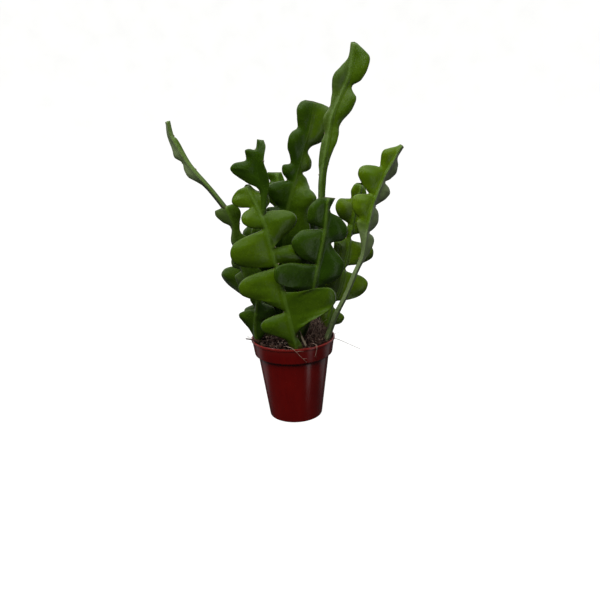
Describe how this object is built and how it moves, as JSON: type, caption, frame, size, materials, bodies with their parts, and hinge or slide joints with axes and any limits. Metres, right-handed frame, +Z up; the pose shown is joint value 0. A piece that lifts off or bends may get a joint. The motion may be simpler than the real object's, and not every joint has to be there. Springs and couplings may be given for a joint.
{
  "type": "potted fishbone cactus",
  "caption": "Small nursery pot of rooted fishbone cactus cuttings: flat, deeply lobed green stems that stand in coarse potting mix, for a shelf or desk.",
  "frame": {"origin": "middle of the pot's flat underside, where it stands", "axes": "+Z up, -Y towards the front, +X to the right seen from the front"},
  "size_m": [0.1472, 0.0797, 0.2343],
  "materials": {
    "pot_plastic": "gloss",
    "potting_mix": "matte",
    "cactus_stem": "satin",
    "dry_fibre": "matte",
    "bark": "matte"
  },
  "bodies": {
    "root": {"pot": "pot_plastic", "potting_mix": "potting_mix", "stem_front": "cactus_stem", "stem_front_right": "cactus_stem", "stem_centre_back": "cactus_stem", "stem_right": "cactus_stem", "stem_right_inner": "cactus_stem", "stem_left": "cactus_stem", "stem_left_low": "cactus_stem", "stem_left_back": "cactus_stem", "stem_back": "cactus_stem", "stem_back_right": "cactus_stem", "root_over_rim": "dry_fibre", "root_over_rim_right": "dry_fibre", "twig_over_rim": "dry_fibre", "coir_fibre_1": "dry_fibre", "coir_fibre_2": "dry_fibre", "coir_fibre_3": "dry_fibre", "coir_fibre_4": "dry_fibre", "dry_scale": "dry_fibre", "bark_chip_1": "bark", "bark_chip_2": "bark", "bark_chip_3": "bark", "bark_chip_4": "bark"}
  },
  "joints": []
}
